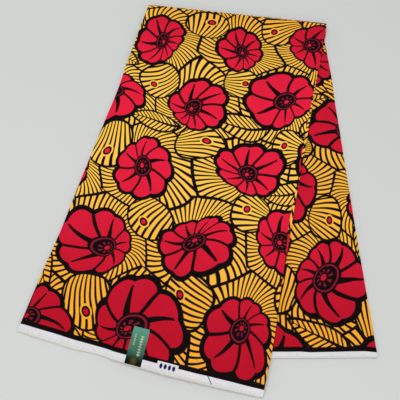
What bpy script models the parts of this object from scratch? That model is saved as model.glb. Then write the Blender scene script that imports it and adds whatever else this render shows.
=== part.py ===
"""A length of wax-print cotton: folded back and forth into a strip, then turned over once across its middle.

The strip is a bundle of plies. Its front leg lies on top and leans to the left, and its back leg
lies under it and shows as a wedge at the right. The turn between them is the straight top edge.
Metres, +Z up, +Y up the cloth, lying on its underside, with the origin in the middle of its base.
"""

import math

import bmesh
import bpy

MM = 0.001

# The strip and its turn
STRIP_WIDE = 305 * MM
LEAN = math.radians(7.54)
FRONT_LEFT_LONG = 558 * MM
BACK_LEFT_LONG = 578 * MM
FRONT_RIGHT_LONG = FRONT_LEFT_LONG + STRIP_WIDE * math.tan(LEAN)

# Thickness: each leg is one showing ply over one bundle of hidden plies
PLY_THICK = 1.0 * MM
SEAM_GAP = 0.3 * MM
BUNDLE_THICK = 3.7 * MM
LEG_THICK = BUNDLE_THICK + SEAM_GAP + PLY_THICK
LEG_RISE = LEG_THICK + SEAM_GAP
TURN_OUT = (LEG_THICK + LEG_RISE) / 2  # also how high the turn's axis is
BUNDLE_OUT = TURN_OUT - PLY_THICK - SEAM_GAP
BUNDLE_IN = BUNDLE_OUT - BUNDLE_THICK
TURN_RUN = math.pi * (TURN_OUT + BUNDLE_IN) / 2

# How the legs settle: the front leg drops off the back one, and the back one comes down to the floor
DROP_FROM = 13 * MM
DROP_RUN = 40 * MM
SETTLE_FROM = 15 * MM
SETTLE_RUN = 18 * MM
PLY_TAIL = 12 * MM
BACK_PLY_FROM = 36 * MM
RIGHT_DRAWN_IN = 12.3 * MM
LEFT_DRAWN_IN = 12 * MM
DRAW_RUN = 36 * MM

# The showing plies' edges: the left one rolls over into the next ply, the right one is a free edge
ROLL_RADIUS = 1.9 * MM
ROLL_STEPS = 3
FREE_EDGE_ROUND = 1.2 * MM
FREE_EDGE_FALL = 0.55 * MM

# How far the front ply's free edge stands out from a straight line, up its length
EDGE_SWAY = (  # up from the lower end mm, outwards mm
    (0, 0.0),
    (66, 2.2),
    (135, -1.2),
    (219, -5.0),
    (276, -3.6),
    (345, -4.2),
    (414, -3.0),
    (500, -1.0),
    (598, 0.0),
)

# The folds of the bundle, from the outside of the turn to its inside
FOLDS = (  # left inset mm, right inset mm, out past the ply's end mm, wander mm, wander length mm
    (1.9, 1.4, 1.0, 0.5, 260),
    (1.6, 0.5, 2.2, 0.9, 190),
    (2.6, 1.1, 2.9, 0.7, 330),
)
FOLD_DEPTH = 1.1 * MM
FOLD_STEPS = ((0.0, 1.0), (0.25, 0.1), (0.75, 0.1))  # share of the fold's height, share of its depth
LOOSE_FROM = 0.28
LOOSE_TO = 0.45
CORNER_INSET = 3.0 * MM
CORNER_RUN = 60 * MM

# The foil sticker on the front ply's lower end
STICKER_LEFT = 137 * MM
STICKER_WIDE = 20.3 * MM
STICKER_LONG = 43.5 * MM
STICKER_LOW = 0.4 * MM
STICKER_THICK = 0.4 * MM
STICKER_TILT = math.radians(1.8)

# Mesh density: rows are shares of a leg's length, from the turn to its lower end
LEG_ROWS = (0.0, 0.02, 0.05, 0.1, 0.16, 0.23, 0.3, 0.37, 0.44, 0.51, 0.58, 0.65, 0.72, 0.79, 0.85, 0.91, 0.96, 1.0)
TURN_STEPS = 8
BACK_ROWS = (0.0, 0.12, 0.24, 0.36, 0.48, 0.6, 0.72, 0.84, 0.93, 1.0)
COLUMNS = 18

FRONT, TURN, BACK = "front", "turn", "back"

COLOURS = {  # red, green, blue, roughness
    "front_stretch": (0.62, 0.12, 0.05, 0.75),
    "back_stretch": (0.55, 0.10, 0.05, 0.75),
    "hidden_layers": (0.66, 0.62, 0.56, 0.85),
    "foil_label": (0.03, 0.22, 0.13, 0.30),
}


def ease(share):
    """A smooth step from 0 to 1."""
    share = min(1.0, max(0.0, share))
    return share * share * (3 - 2 * share)


def between(table, at):
    """The value that a two-column table gives at a place, eased from row to row."""
    for (low, first), (high, second) in zip(table, table[1:]):
        if at <= high:
            return first + (second - first) * ease((at - low) / (high - low))
    return table[-1][1]


def back_outline(across, down):
    """A point of the back leg in plan: across the strip, and down it from the turn."""
    tuck = ease(down / DRAW_RUN)
    share = across / STRIP_WIDE
    drawn = tuck * (LEFT_DRAWN_IN * (1 - share) - RIGHT_DRAWN_IN * share)
    x = (across + TURN_RUN * math.sin(LEAN)) / math.cos(LEAN) + down * math.sin(LEAN)
    return x + drawn, -down * math.cos(LEAN)


def drop(x, y):
    """How far the front leg has come down at a place in plan, outside the back leg's left and lower edges."""
    past_left = -(x * math.cos(LEAN) + y * math.sin(LEAN))
    past_end = -(y * math.cos(LEAN) - x * math.sin(LEAN)) - BACK_LEFT_LONG
    away = math.hypot(max(0.0, past_left), max(0.0, past_end))
    return LEG_RISE * ease((away - DROP_FROM) / DROP_RUN)


def leg_long(leg, across):
    """How long a leg is, from the turn to its lower end."""
    grows = across * math.tan(LEAN)
    return FRONT_LEFT_LONG + grows if leg == FRONT else BACK_LEFT_LONG - grows


def place(leg, across, along, out):
    """A point of the cloth.

    leg is FRONT, TURN or BACK. along is the turn's angle on TURN, and on a leg it is the distance
    down it from the turn. out is the distance from the turn's axis, positive on the outside.
    """
    if leg == FRONT:
        x = across / math.cos(LEAN) - along * math.sin(LEAN)
        y = -along * math.cos(LEAN)
        return x, y, TURN_OUT + out - drop(x, y)
    if leg == TURN:
        share = along / math.pi
        x = (across + share * TURN_RUN * math.sin(LEAN)) / math.cos(LEAN)
        return x, out * math.sin(along), TURN_OUT + out * math.cos(along)
    x, y = back_outline(across, along)
    settled = (PLY_THICK + SEAM_GAP) * ease((along - SETTLE_FROM) / SETTLE_RUN)
    return x, y, TURN_OUT - out - settled


def closed_block(name, columns, levels, rows, point):
    """A solid with the faces of a box, each face a grid: point(column, level, row) places its corners."""
    mesh = bmesh.new()
    corners = {}

    def corner(i, j, k):
        if (i, j, k) not in corners:
            corners[i, j, k] = mesh.verts.new(point(i, j, k))
        return corners[i, j, k]

    def face(*keys):
        mesh.faces.new([corner(*key) for key in keys])

    for k in range(rows):
        for i in range(columns):
            face((i, 0, k), (i + 1, 0, k), (i + 1, 0, k + 1), (i, 0, k + 1))
            low = levels
            face((i, low, k), (i, low, k + 1), (i + 1, low, k + 1), (i + 1, low, k))
        for j in range(levels):
            face((0, j, k), (0, j, k + 1), (0, j + 1, k + 1), (0, j + 1, k))
            far = columns
            face((far, j, k), (far, j + 1, k), (far, j + 1, k + 1), (far, j, k + 1))
    for j in range(levels):
        for i in range(columns):
            face((i, j, 0), (i, j + 1, 0), (i + 1, j + 1, 0), (i + 1, j, 0))
            end = rows
            face((i, j, end), (i + 1, j, end), (i + 1, j + 1, end), (i, j + 1, end))
    bmesh.ops.recalc_face_normals(mesh, faces=mesh.faces)
    data = bpy.data.meshes.new(name)
    mesh.to_mesh(data)
    mesh.free()
    data.shade_smooth()
    data.set_sharp_from_angle(angle=math.radians(50))
    piece = bpy.data.objects.new(name, data)
    bpy.context.collection.objects.link(piece)
    piece.data.materials.append(cloth_colour(name))
    return piece


def cloth_colour(name):
    """The plain colour of a piece."""
    red, green, blue, rough = COLOURS[name]
    material = bpy.data.materials.new(name)
    material.use_nodes = True
    shader = material.node_tree.nodes["Principled BSDF"]
    shader.inputs["Base Color"].default_value = (red, green, blue, 1)
    shader.inputs["Roughness"].default_value = rough
    shader.inputs["Metallic"].default_value = 0.0
    return material


def ply_columns(outer, right_edge):
    """A showing ply's section on its outer or inner face, as (place across the strip, fall) columns.

    The left edge rolls over a quarter turn, and the right edge is a rounded free edge.
    """
    radius = ROLL_RADIUS if outer else ROLL_RADIUS - PLY_THICK
    fall = 0.0 if outer else PLY_THICK
    columns = []
    for step in range(ROLL_STEPS + 1):
        angle = math.pi / 2 * (1 - step / ROLL_STEPS)
        columns.append((ROLL_RADIUS - radius * math.sin(angle), ROLL_RADIUS - radius * math.cos(angle)))
    columns += [(STRIP_WIDE * step / COLUMNS, fall) for step in range(1, COLUMNS)]
    for share in (1.0, 1 / 3, 0.0):
        rounded = FREE_EDGE_FALL * (1 - share) ** 2 if outer else fall
        columns.append((right_edge - FREE_EDGE_ROUND * share, rounded))
    return columns


def front_stretch():
    """The front leg's top ply, from its lower selvedge up and round the turn to a short tail under the back leg."""
    front_rows = [(FRONT, share) for share in reversed(LEG_ROWS)]
    turn_rows = [(TURN, math.pi * step / TURN_STEPS) for step in range(1, TURN_STEPS + 1)]
    rows = front_rows + turn_rows + [(BACK, PLY_TAIL)]
    sections = []
    for leg, along in rows:
        up = (1 - along) * FRONT_RIGHT_LONG if leg == FRONT else FRONT_RIGHT_LONG
        right_edge = STRIP_WIDE + between(EDGE_SWAY, up / MM) * MM
        sections.append([ply_columns(outer, right_edge) for outer in (True, False)])

    def point(i, j, k):
        leg, along = rows[k]
        across, fall = sections[k][j][i]
        if leg == FRONT:
            along *= leg_long(FRONT, across)
        return place(leg, across, along, TURN_OUT - fall)

    return closed_block("front_stretch", len(sections[0][0]) - 1, 1, len(rows) - 1, point)


def back_stretch():
    """The back leg's top ply, from under the turn down to its own selvedge."""
    section = [ply_columns(outer, STRIP_WIDE) for outer in (True, False)]

    def point(i, j, k):
        across, fall = section[j][i]
        down = BACK_PLY_FROM + (leg_long(BACK, across) - BACK_PLY_FROM) * BACK_ROWS[k]
        x, y = back_outline(across, down)
        return x, y, LEG_THICK - fall

    return closed_block("back_stretch", len(section[0]) - 1, 1, len(BACK_ROWS) - 1, point)


def bundle_levels():
    """The bundle's side, from the outside of the turn to its inside, as (fold, height share, depth share)."""
    count = len(FOLDS)
    levels = [(fold, (fold + height) / count, depth) for fold in range(count) for height, depth in FOLD_STEPS]
    return levels + [(count - 1, 1.0, 1.0)]


def bundle_edges(leg, share, fold, depth):
    """Where one fold of the bundle has its left and right edges, at a share of a leg's length."""
    left, right, _, wander, wave_long = FOLDS[fold]
    down = 0.0 if leg == TURN else share * FRONT_LEFT_LONG
    walk = -down if leg == FRONT else down
    swing = wander * MM * math.sin(2 * math.pi * (walk / MM / wave_long + fold / len(FOLDS)))
    corner = CORNER_INSET * ease(1 - (FRONT_LEFT_LONG - down) / CORNER_RUN) if leg == FRONT else 0.0
    left_edge = left * MM + swing + FOLD_DEPTH * depth
    right_edge = STRIP_WIDE - right * MM + swing - FOLD_DEPTH * depth - corner
    return left_edge, right_edge


def hidden_layers():
    """All the plies between the showing ones, as one bundle that runs round the turn, its edges in folds."""
    levels = bundle_levels()
    front_rows = [(FRONT, share) for share in reversed(LEG_ROWS)]
    turn_rows = [(TURN, math.pi * step / TURN_STEPS) for step in range(1, TURN_STEPS + 1)]
    rows = front_rows + turn_rows + [(BACK, share) for share in LEG_ROWS[1:]]
    last = len(rows) - 1

    def point(i, j, k):
        leg, along = rows[k]
        fold, height, depth = levels[j]
        left_edge, right_edge = bundle_edges(leg, along, fold, depth)
        across = STRIP_WIDE * i / COLUMNS
        if i in (0, COLUMNS):
            across = right_edge if i else left_edge
        if leg != TURN:
            along *= leg_long(leg, across)
        if k in (0, last):
            loose = ease((across / STRIP_WIDE - LOOSE_FROM) / (LOOSE_TO - LOOSE_FROM))
            along += FOLDS[fold][2] * MM * loose - FOLD_DEPTH * depth
        return place(leg, across, along, BUNDLE_OUT - BUNDLE_THICK * height)

    return closed_block("hidden_layers", COLUMNS, len(levels) - 1, last, point)


def foil_label():
    """A thin sticker that lies on the front ply, from the ply's own points moved out."""
    columns, rows = 3, 6

    def point(i, j, k):
        across = STICKER_LEFT + STICKER_WIDE * i / columns
        up = STICKER_LOW + STICKER_LONG * k / rows
        across -= (up - STICKER_LOW) * math.tan(STICKER_TILT)
        out = TURN_OUT + SEAM_GAP + (STICKER_THICK if j == 0 else 0.0)
        return place(FRONT, across, leg_long(FRONT, across) - up, out)

    return closed_block("foil_label", columns, 1, rows, point)


def stand_on_base(pieces):
    """Move every piece so that the origin is in the middle of the whole cloth's base."""
    points = [vertex.co for piece in pieces for vertex in piece.data.vertices]
    middle = [(min(p[axis] for p in points) + max(p[axis] for p in points)) / 2 for axis in (0, 1)]
    floor = min(p[2] for p in points)
    for piece in pieces:
        for vertex in piece.data.vertices:
            vertex.co.x -= middle[0]
            vertex.co.y -= middle[1]
            vertex.co.z -= floor
        piece.data.update()


def main():
    for thing in list(bpy.data.objects):
        bpy.data.objects.remove(thing, do_unlink=True)
    stand_on_base([front_stretch(), back_stretch(), hidden_layers(), foil_label()])


main()
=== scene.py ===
"""A length of ankara, wax-print cotton, folded into a strip and turned over once across its middle.

The frame gives the solids. Each piece here is the cloth itself: thin plies with real folds, the print in
millimetres from the cloth's own selvedge, and the foil sticker on its lower end.
"""

import math

import bpy
from bpy.props import FloatProperty, FloatVectorProperty, IntProperty, PointerProperty
from mathutils import Euler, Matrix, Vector, noise


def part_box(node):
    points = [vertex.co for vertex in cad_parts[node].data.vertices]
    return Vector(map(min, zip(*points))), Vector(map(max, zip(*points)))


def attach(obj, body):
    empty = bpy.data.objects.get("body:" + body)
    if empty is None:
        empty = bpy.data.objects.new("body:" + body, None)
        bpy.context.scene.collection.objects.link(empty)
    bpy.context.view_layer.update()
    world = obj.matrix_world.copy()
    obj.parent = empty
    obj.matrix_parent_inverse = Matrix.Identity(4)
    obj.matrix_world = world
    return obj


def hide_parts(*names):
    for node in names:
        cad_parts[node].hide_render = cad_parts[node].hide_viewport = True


bl_info = {
    "name": "Folded Ankara Cloth",
    "version": (1, 0, 0),
    "blender": (4, 5, 0),
    "location": "View3D > Sidebar > Cloth",
    "description": "Makes a folded length of wax-print cotton, with its print, selvedges and foil sticker",
    "category": "Add Mesh",
}

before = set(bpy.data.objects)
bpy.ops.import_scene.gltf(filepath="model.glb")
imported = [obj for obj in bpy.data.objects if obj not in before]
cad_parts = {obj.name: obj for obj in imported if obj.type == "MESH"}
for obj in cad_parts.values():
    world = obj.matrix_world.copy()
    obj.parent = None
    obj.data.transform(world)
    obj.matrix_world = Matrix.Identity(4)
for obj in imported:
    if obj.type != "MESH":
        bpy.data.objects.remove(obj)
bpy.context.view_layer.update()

MM = 0.001
FRONT, TURN, BACK = "front", "turn", "back"

# How the legs lie on each other, as the solids have it
DROP_FROM = 13 * MM  # how far outside the back leg the front leg begins to come down
DROP_RUN = 40 * MM
RIGHT_DRAWN_IN = 12.3 * MM  # how far each edge of the back leg is drawn in below the turn
LEFT_DRAWN_IN = 12 * MM
DRAW_RUN = 36 * MM
SETTLE_FROM = 15 * MM  # how far below the turn the back leg begins to settle
SETTLE_RUN = 18 * MM
INNER_OUT = 0.15 * MM  # from the turn's axis to the bundle's inner face
PLY_TAIL = 12 * MM  # how far a showing ply goes on where others hide it
BACK_PLY_FROM = 36 * MM  # how far below the turn the back's showing ply begins
EDGE_PRESS = 0.14  # how much thinner the stack is pressed along both its edges
EDGE_PRESS_RUN = 7 * MM

# How far the front ply's free edge stands out from a straight line, up its length
EDGE_SWAY = (  # up from the lower end mm, outwards mm
    (0, 0.5), (66, 1.5), (135, -1.2), (219, -5.0), (276, -3.6),
    (345, -4.2), (414, -3.0), (500, -1.0), (598, 0.0),
)

# How far the front leg's left edge lies in from a straight line, from the turn down
LEFT_SWAY = (  # along mm, inwards mm
    (0, 0.0), (46, 0.3), (84, 0.9), (121, 1.4), (146, 2.1), (176, 3.1), (246, 2.2),
    (346, 1.8), (418, 2.3), (446, 1.4), (471, 0.2), (521, -0.7), (560, -1.4),
)

# How far the back leg's right edge stands out from a straight line, from the turn down
BACK_SWAY = (  # along mm, outwards mm
    (0, 0.0), (30, 4.5), (95, 5.4), (190, 3.3), (290, 2.1), (400, 1.1), (500, 1.2), (578, 2.3),
)
BACK_SHORT = 1.0 * MM  # how much shorter the back's showing ply is than its solid
OTHER_SELVEDGE_LESS = 2.5 * MM  # how much narrower the white is on the back leg's selvedge

# How far each leg's end waves from a straight line, downwards
FRONT_END_WAVE = (  # across mm, down mm
    (0, -2.3), (38, -1.5), (74, -0.1), (98, 0.1), (111, 0.4), (123, 1.4), (159, 1.8),
    (196, 1.6), (220, 1.4), (244, 0.7), (269, 0.2), (284, 0.1), (305, -0.4),
)
BACK_END_WAVE = (  # across mm, down mm
    (150, -4.5), (199, -3.5), (217, -2.2), (263, -1.9), (286, -1.6), (305, 0.0),
)
BACK_PRINT_FROM = 5270 * MM  # how far along the cloth the back ply's print lies from the front ply's
BACK_STANDS_OUT = 0.4  # how much of the inner plies' stand-out is left on the back leg

# The folds inside the strip, from the outermost one in
RIGHT_FOLDS = (  # inset mm, wander mm, wander length mm
    (0.7, 0.5, 190), (1.5, 0.7, 260), (0.9, 0.6, 150), (1.9, 0.9, 310),
    (0.6, 0.5, 220), (1.3, 0.8, 170), (1.8, 0.6, 280), (1.0, 0.7, 240),
)
LEFT_FOLDS = (  # inset mm, wander mm, wander length mm
    (1.6, 0.5, 230), (2.4, 0.8, 180), (1.3, 0.6, 300), (2.1, 0.7, 160),
    (1.5, 0.5, 270), (2.6, 0.9, 210), (1.8, 0.6, 250),
)
FOLD_SHIFT = 0.37  # how much of a wander each fold is behind the one outside it

# How far each inner ply's selvedge stands out past the showing one, from the outermost ply in
SELVEDGE_OUT = (1.9, 2.1, 1.8, 2.3, 2.0, 2.4, 2.1, 2.5, 2.2, 2.6, 2.3, 2.7, 2.4, 2.9, 2.5, 2.8)  # mm
SELVEDGE_LEVEL = 0.3 * MM  # how far they stand out where the strip is tight

# How much of that there is along the front leg's end: none where the strip is tight
LOOSE = (  # across mm, share
    (116, 0.0), (148, 1.15), (165, 1.25), (200, 1.05), (250, 0.9), (284, 0.55), (305, 0.3),
)

# Where the strip is tight, the front ply reaches past its end and droops over the stack's
OVERHANG = (  # across mm, how far past the end mm
    (0, 2.0), (24, 2.5), (50, 2.9), (76, 2.8), (98, 1.35), (111, 1.0), (130, 1.0), (189, 0.0),
)
DROOP_DOWN = 3.4 * MM
DROOP_BEND = 1.6 * MM  # how far before the end it begins to bend
DROOP_FROM = 0.30  # where the droop begins to fade, as a share of the strip's width
DROOP_TO = 0.45
STICKER_BENDS = 0.5  # how much of the droop the stiffer sticker takes

# Soft ridges in the front ply, each where a fold was pressed out
RIDGES = (  # across mm, up mm, heading degrees, half length mm, half width mm, height mm
    (70, 430, 8, 120, 16, 0.45),
    (215, 470, -12, 100, 20, 0.5),
    (150, 300, 84, 90, 14, 0.35),
    (255, 250, 95, 130, 12, 0.6),
    (40, 200, 100, 110, 13, 0.4),
    (190, 120, 12, 95, 18, 0.4),
    (110, 60, -6, 80, 15, 0.35),
    (285, 90, 88, 60, 9, 0.5),
)
LEFT_ROLL = 12 * MM  # over what width the relief grows from the left fold

# The stage
CAMERA_PLACE = (0.14003, -0.59866, 0.56646)  # from the turn's left corner
CAMERA_TURN = (23.8287, -1.6557, 6.3712)  # degrees
CAMERA_SENSOR = 36.0  # mm
KEY_LIGHT = ((-0.65, 0.0, 3.2), (0.0, 0.0, 0.0), (2.0, 2.0))  # place, aim, size
FILL_LIGHT = ((0.3, -2.4, 1.5), (0.0, -0.1, 0.0), (2.2, 1.2))
SKY_COLOUR = "#F6F6F6"
FLOOR_HALF = 4.0

COTTON = "Calendered wax-print cotton"  # the one material that every ply is made of


def linear(code):
    """An sRGB hex colour as linear red, green, blue and alpha."""
    shares = [int(code[at : at + 2], 16) / 255 for at in (1, 3, 5)]
    return tuple(c / 12.92 if c <= 0.04045 else ((c + 0.055) / 1.055) ** 2.4 for c in shares) + (1.0,)


def length_property(name, description, millimetres):
    """A length that a user would change, given in millimetres."""
    value = {"default": millimetres * MM, "min": 0.0, "precision": 5}
    return FloatProperty(name=name, description=description, subtype="DISTANCE", unit="LENGTH", **value)


def angle_property(name, description, degrees):
    """An angle that a user would change, given in degrees."""
    value = {"default": math.radians(degrees)}
    return FloatProperty(name=name, description=description, subtype="ANGLE", unit="ROTATION", **value)


def colour_property(name, description, code):
    """A colour that a user would change, given as sRGB hex."""
    value = {"default": linear(code), "size": 4, "min": 0.0, "max": 1.0}
    return FloatVectorProperty(name=name, description=description, subtype="COLOR", **value)


def number_property(name, description, default, **kind):
    """A number that a user would change: a share, a strength, a power or a focal length."""
    return FloatProperty(name=name, description=description, default=default, min=0.0, **kind)


def count_property(name, description, default, least):
    """A whole number that a user would change."""
    return IntProperty(name=name, description=description, default=default, min=least)


class ClothSizes(bpy.types.PropertyGroup):
    """The cloth and its folding."""

    strip_wide: length_property("Strip width", "Width of the folded strip", 305)
    front_long: length_property("Front length", "Front leg, down its left edge", 558)
    back_long: length_property("Back length", "Back leg, down its left edge", 578)
    ply_thick: length_property("Showing ply", "Thickness of the plies that show", 0.26)
    inner_thick: length_property("Inner ply", "Thickness of the plies between them", 0.24)
    inner_plies: count_property("Inner plies", "Plies between the showing ones", 16, 2)
    lean: angle_property("Lean", "Angle between each leg and the square of the turn", 7.54)


class PrintSizes(bpy.types.PropertyGroup):
    """The wax print and its inks."""

    yellow: colour_property("Ground", "Golden yellow dye of the ground", "#EBB948")
    # Painted shade: the ground colour where shade is painted on the cloth
    shaded_yellow: colour_property("Shaded ground", "Golden yellow in painted shade", "#E0941F")
    red: colour_property("Petals", "Crimson dye of the petals", "#D21C38")
    # Painted shade: the petal colour where shade is painted on the cloth
    shaded_red: colour_property("Shaded petals", "Crimson in painted shade", "#9C0C1D")
    maroon: colour_property("Hearts", "Maroon where crimson meets the indigo resist", "#741529")
    black: colour_property("Line", "Near-black indigo of the outlines", "#0F0809")
    cotton: colour_property("Cotton", "Bleached cotton of the selvedge", "#CACACE")
    # Painted shade: the darker, warmer tint of the selvedge's very edge and of the shade between its threads
    shaded_edge_cream: colour_property("Shaded edge", "Darker tint at the very edge, in painted shade", "#C2BEB8")
    mill_ink: colour_property("Mill ink", "Dark blue ink of the mill's marks", "#141B4D")
    spacing: length_property("Spacing", "From blossom to blossom", 134)
    outline: length_property("Outline", "Line round each blossom", 5.3)
    hatch_pitch: length_property("Hatch pitch", "From one hatch line to the next", 7.2)
    band_wide: length_property("Band", "Black band along each selvedge", 5.8)
    selvedge_wide: length_property("Selvedge", "Plain white selvedge", 7.8)
    hatch_black: number_property("Hatch black", "Its share of the hatch", 0.41, subtype="FACTOR", max=1.0)
    rays: count_property("Rays", "Rays round a blossom", 50, 12)


class StickerSizes(bpy.types.PropertyGroup):
    """The foil sticker."""

    green: colour_property("Foil", "Green lacquer over foil", "#5A967F")
    deep_green: colour_property("Foot", "Nearly black green at the sticker's foot", "#050E09")
    gold: colour_property("Gold", "Pale gold of the ornaments", "#B9BF94")
    bronze: colour_property("Bronze", "Brown gold of the rosette at the foot", "#8A6532")
    left: length_property("Left", "From the strip's left edge to the sticker", 138.1)
    wide: length_property("Width", "Width of the sticker", 20.1)
    long: length_property("Length", "Length of the sticker", 43.8)
    drop: length_property("Drop", "How far the sticker's foot lies below the printed edge", 1.2)
    thick: length_property("Thickness", "Thickness of the sticker", 0.16)
    tilt: angle_property("Tilt", "How far the sticker leans on the strip", 1.6)


class StageSizes(bpy.types.PropertyGroup):
    """The floor, the lights and the camera."""

    floor: colour_property("Floor", "Plain pale paper under the cloth", "#C1C3C1")
    key_watts: number_property("Key", "Power of the big soft light", 72.0, unit="POWER")
    fill_watts: number_property("Fill", "Power of the light from the front", 26.0, unit="POWER")
    sky: number_property("Sky", "Strength of the even light from all round", 0.5)
    lens: number_property("Lens", "Focal length", 39.396, unit="CAMERA")


class FoldedClothSettings(bpy.types.PropertyGroup):
    """All sizes and colours of the folded cloth."""

    cloth: PointerProperty(type=ClothSizes)
    print: PointerProperty(type=PrintSizes)
    sticker: PointerProperty(type=StickerSizes)
    stage: PointerProperty(type=StageSizes)


def ease(share):
    """A smooth step from 0 to 1."""
    share = min(1.0, max(0.0, share))
    return share * share * (3 - 2 * share)


def between(table, at):
    """The value that a two-column table gives at a place, eased from row to row."""
    if at <= table[0][0]:
        return table[0][1]
    for (low, first), (high, second) in zip(table, table[1:]):
        if at <= high:
            return first + (second - first) * ease((at - low) / (high - low))
    return table[-1][1]


def length_at(table, at):
    """The length that a table in millimetres gives at a length."""
    return between(table, at / MM) * MM


def waver(first, second, third=0.0):
    """Smooth noise from -1 to 1."""
    return noise.noise(Vector((first, second, third)))


class Fold:
    """The folded strip: where a point of the cloth lies, as the solids have it.

    Places are across the strip from its left edge, along a leg from the turn (or the turn's angle),
    and out from the turn's axis. The outermost ply is the top one on the front leg.
    """

    def __init__(self, cloth):
        self.wide = cloth.strip_wide
        self.lean = cloth.lean
        self.front_long = cloth.front_long
        self.back_long = cloth.back_long
        self.ply_thick = cloth.ply_thick
        self.inner_thick = cloth.inner_thick
        low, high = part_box("front_stretch")
        self.out = high.z / 2
        self.back_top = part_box("back_stretch")[1].z
        self.rise = 2 * self.out - self.back_top
        self.corner = Vector((low.x + self.front_long * math.sin(self.lean), high.y - self.out, 0))
        self.turn_run = math.pi * self.out / 2
        self.cloth_wide = self.front_long + self.back_long + 2 * self.turn_run
        self.top_level = self.out - self.ply_thick / 2
        low_level = INNER_OUT + self.inner_thick / 2
        self.pitch = (self.top_level - low_level) / cloth.inner_plies
        self.settles = self.ply_thick + self.pitch - self.inner_thick

    def level(self, ply):
        """How far out a ply lies, where 0 is the top ply of the front leg."""
        return self.top_level - ply * self.pitch

    def press(self, across):
        """How much thinner the stack is at a place across the strip."""
        left = min(1.0, max(0.0, 1 - across / EDGE_PRESS_RUN))
        right = min(1.0, max(0.0, 1 - (self.wide - across) / EDGE_PRESS_RUN))
        return EDGE_PRESS * (left * left + right * right)

    def long(self, leg, across):
        """How long a leg is, from the turn to the showing ply's selvedge."""
        grows = across * math.tan(self.lean)
        if leg == FRONT:
            return self.front_long + grows + length_at(FRONT_END_WAVE, across)
        return self.back_long - grows + length_at(BACK_END_WAVE, across)

    def drop(self, x, y):
        """How far the front leg has come down outside the back leg's left and lower edges."""
        past_left = -(x * math.cos(self.lean) + y * math.sin(self.lean))
        past_end = -(y * math.cos(self.lean) - x * math.sin(self.lean)) - self.back_long
        away = math.hypot(max(0.0, past_left), max(0.0, past_end))
        return self.rise * ease((away - DROP_FROM) / DROP_RUN)

    def place(self, leg, across, along, out):
        """A point of the cloth in the frame."""
        press = self.press(across)
        sine, cosine = math.sin(self.lean), math.cos(self.lean)
        if leg == FRONT:
            out = INNER_OUT + (out - INNER_OUT) * (1 - press)
            across += length_at(LEFT_SWAY, along) * (1 - across / self.wide) ** 2
            x = across / cosine - along * sine
            y = -along * cosine
            z = self.out + out - self.drop(x, y)
        elif leg == TURN:
            share = along / math.pi
            out = INNER_OUT + (out - INNER_OUT) * (1 - press * (1 - ease(share)))
            x = (across + share * self.turn_run * sine) / cosine
            y = out * math.sin(along)
            z = self.out + out * math.cos(along)
        else:
            share = across / self.wide
            drawn = ease(along / DRAW_RUN) * (LEFT_DRAWN_IN * (1 - share) - RIGHT_DRAWN_IN * share)
            drawn += length_at(BACK_SWAY, along) * share
            x = (across + self.turn_run * sine) / cosine + along * sine + drawn
            y = -along * cosine
            settled = self.settles * ease((along - SETTLE_FROM) / SETTLE_RUN)
            z = (self.out - out - settled) * (1 - press * ease((along - PLY_TAIL) / DRAW_RUN))
        return self.corner + Vector((x, y, z))

    def from_selvedge(self, leg, along, long):
        """How far a place is across the cloth's own width, from the front leg's selvedge."""
        if leg == FRONT:
            return long - along
        if leg == TURN:
            return self.front_long + along * self.out
        return self.cloth_wide - (long - along)

    def walk(self, leg, start, share):
        """A distance along the whole strip, from the front leg's selvedge, for a row."""
        if leg == FRONT:
            return self.front_long * (1 - share)
        if leg == TURN:
            return self.front_long + start * self.out
        return self.front_long + 2 * self.turn_run + start + (self.back_long - start) * share


def folded_arc(centre_across, side, first, last, steps=4):
    """Points round one fold, from one ply's level to the next, on the left (-1) or right (1) side."""
    radius = abs(last - first) / 2
    middle = (first + last) / 2
    points = []
    for step in range(steps + 1):
        angle = math.pi * (step / steps - 0.5) * (-1 if first > last else 1)
        points.append((centre_across + side * radius * math.cos(angle), middle + radius * math.sin(angle)))
    return points


def swept_sheet(name, fold, rows, sections, thick, long_of):
    """A closed shell of one continuous ply, however it is folded.

    rows are (leg, start, share): a place that share of the way from start to the ply's end. On the
    turn, start is its angle. sections gives, for each row, the ply's middle line as (across, out,
    print across, ply) points, and long_of(leg, across, ply) how long the ply is there.
    """
    points, print_places = [], []
    for (leg, start, share), section in zip(rows, sections):
        outer, inner, places = [], [], []
        for at, (across, out, print_across, ply) in enumerate(section):
            before, after = section[max(at - 1, 0)], section[min(at + 1, len(section) - 1)]
            step = Vector((after[0] - before[0], after[1] - before[1])).normalized() * thick / 2
            along = start if leg == TURN else start + (long_of(leg, across, ply) - start) * share
            outer.append(fold.place(leg, across - step.y, along, out + step.x))
            inner.append(fold.place(leg, across + step.y, along, out - step.x))
            places.append((print_across, fold.from_selvedge(leg, along, fold.long(leg, across))))
        points += outer + inner[::-1]
        print_places += places + places[::-1]
    half, last = len(sections[0]), len(rows) - 1
    ring = 2 * half
    faces = [
        (k * ring + i, k * ring + (i + 1) % ring, (k + 1) * ring + (i + 1) % ring, (k + 1) * ring + i)
        for k in range(last)
        for i in range(ring)
    ]
    for k, turned in ((0, False), (last, True)):
        for i in range(half - 1):
            corners = (k * ring + i, k * ring + ring - 1 - i, k * ring + ring - 2 - i, k * ring + i + 1)
            faces.append(corners[::-1] if turned else corners)
    return cloth_object(name, points, faces, print_places)


def cloth_object(name, points, faces, places):
    """A smooth mesh object with a map in metres of the flat cloth."""
    sharp_from = 60  # degrees
    data = bpy.data.meshes.new(name)
    data.from_pydata(points, [], faces)
    layer = data.uv_layers.new(name="Cloth")
    layer.data.foreach_set("uv", [value for loop in data.loops for value in places[loop.vertex_index]])
    data.validate()
    data.shade_smooth()
    data.set_sharp_from_angle(angle=math.radians(sharp_from))
    piece = bpy.data.objects.new(name, data)
    bpy.context.collection.objects.link(piece)
    return piece


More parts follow.
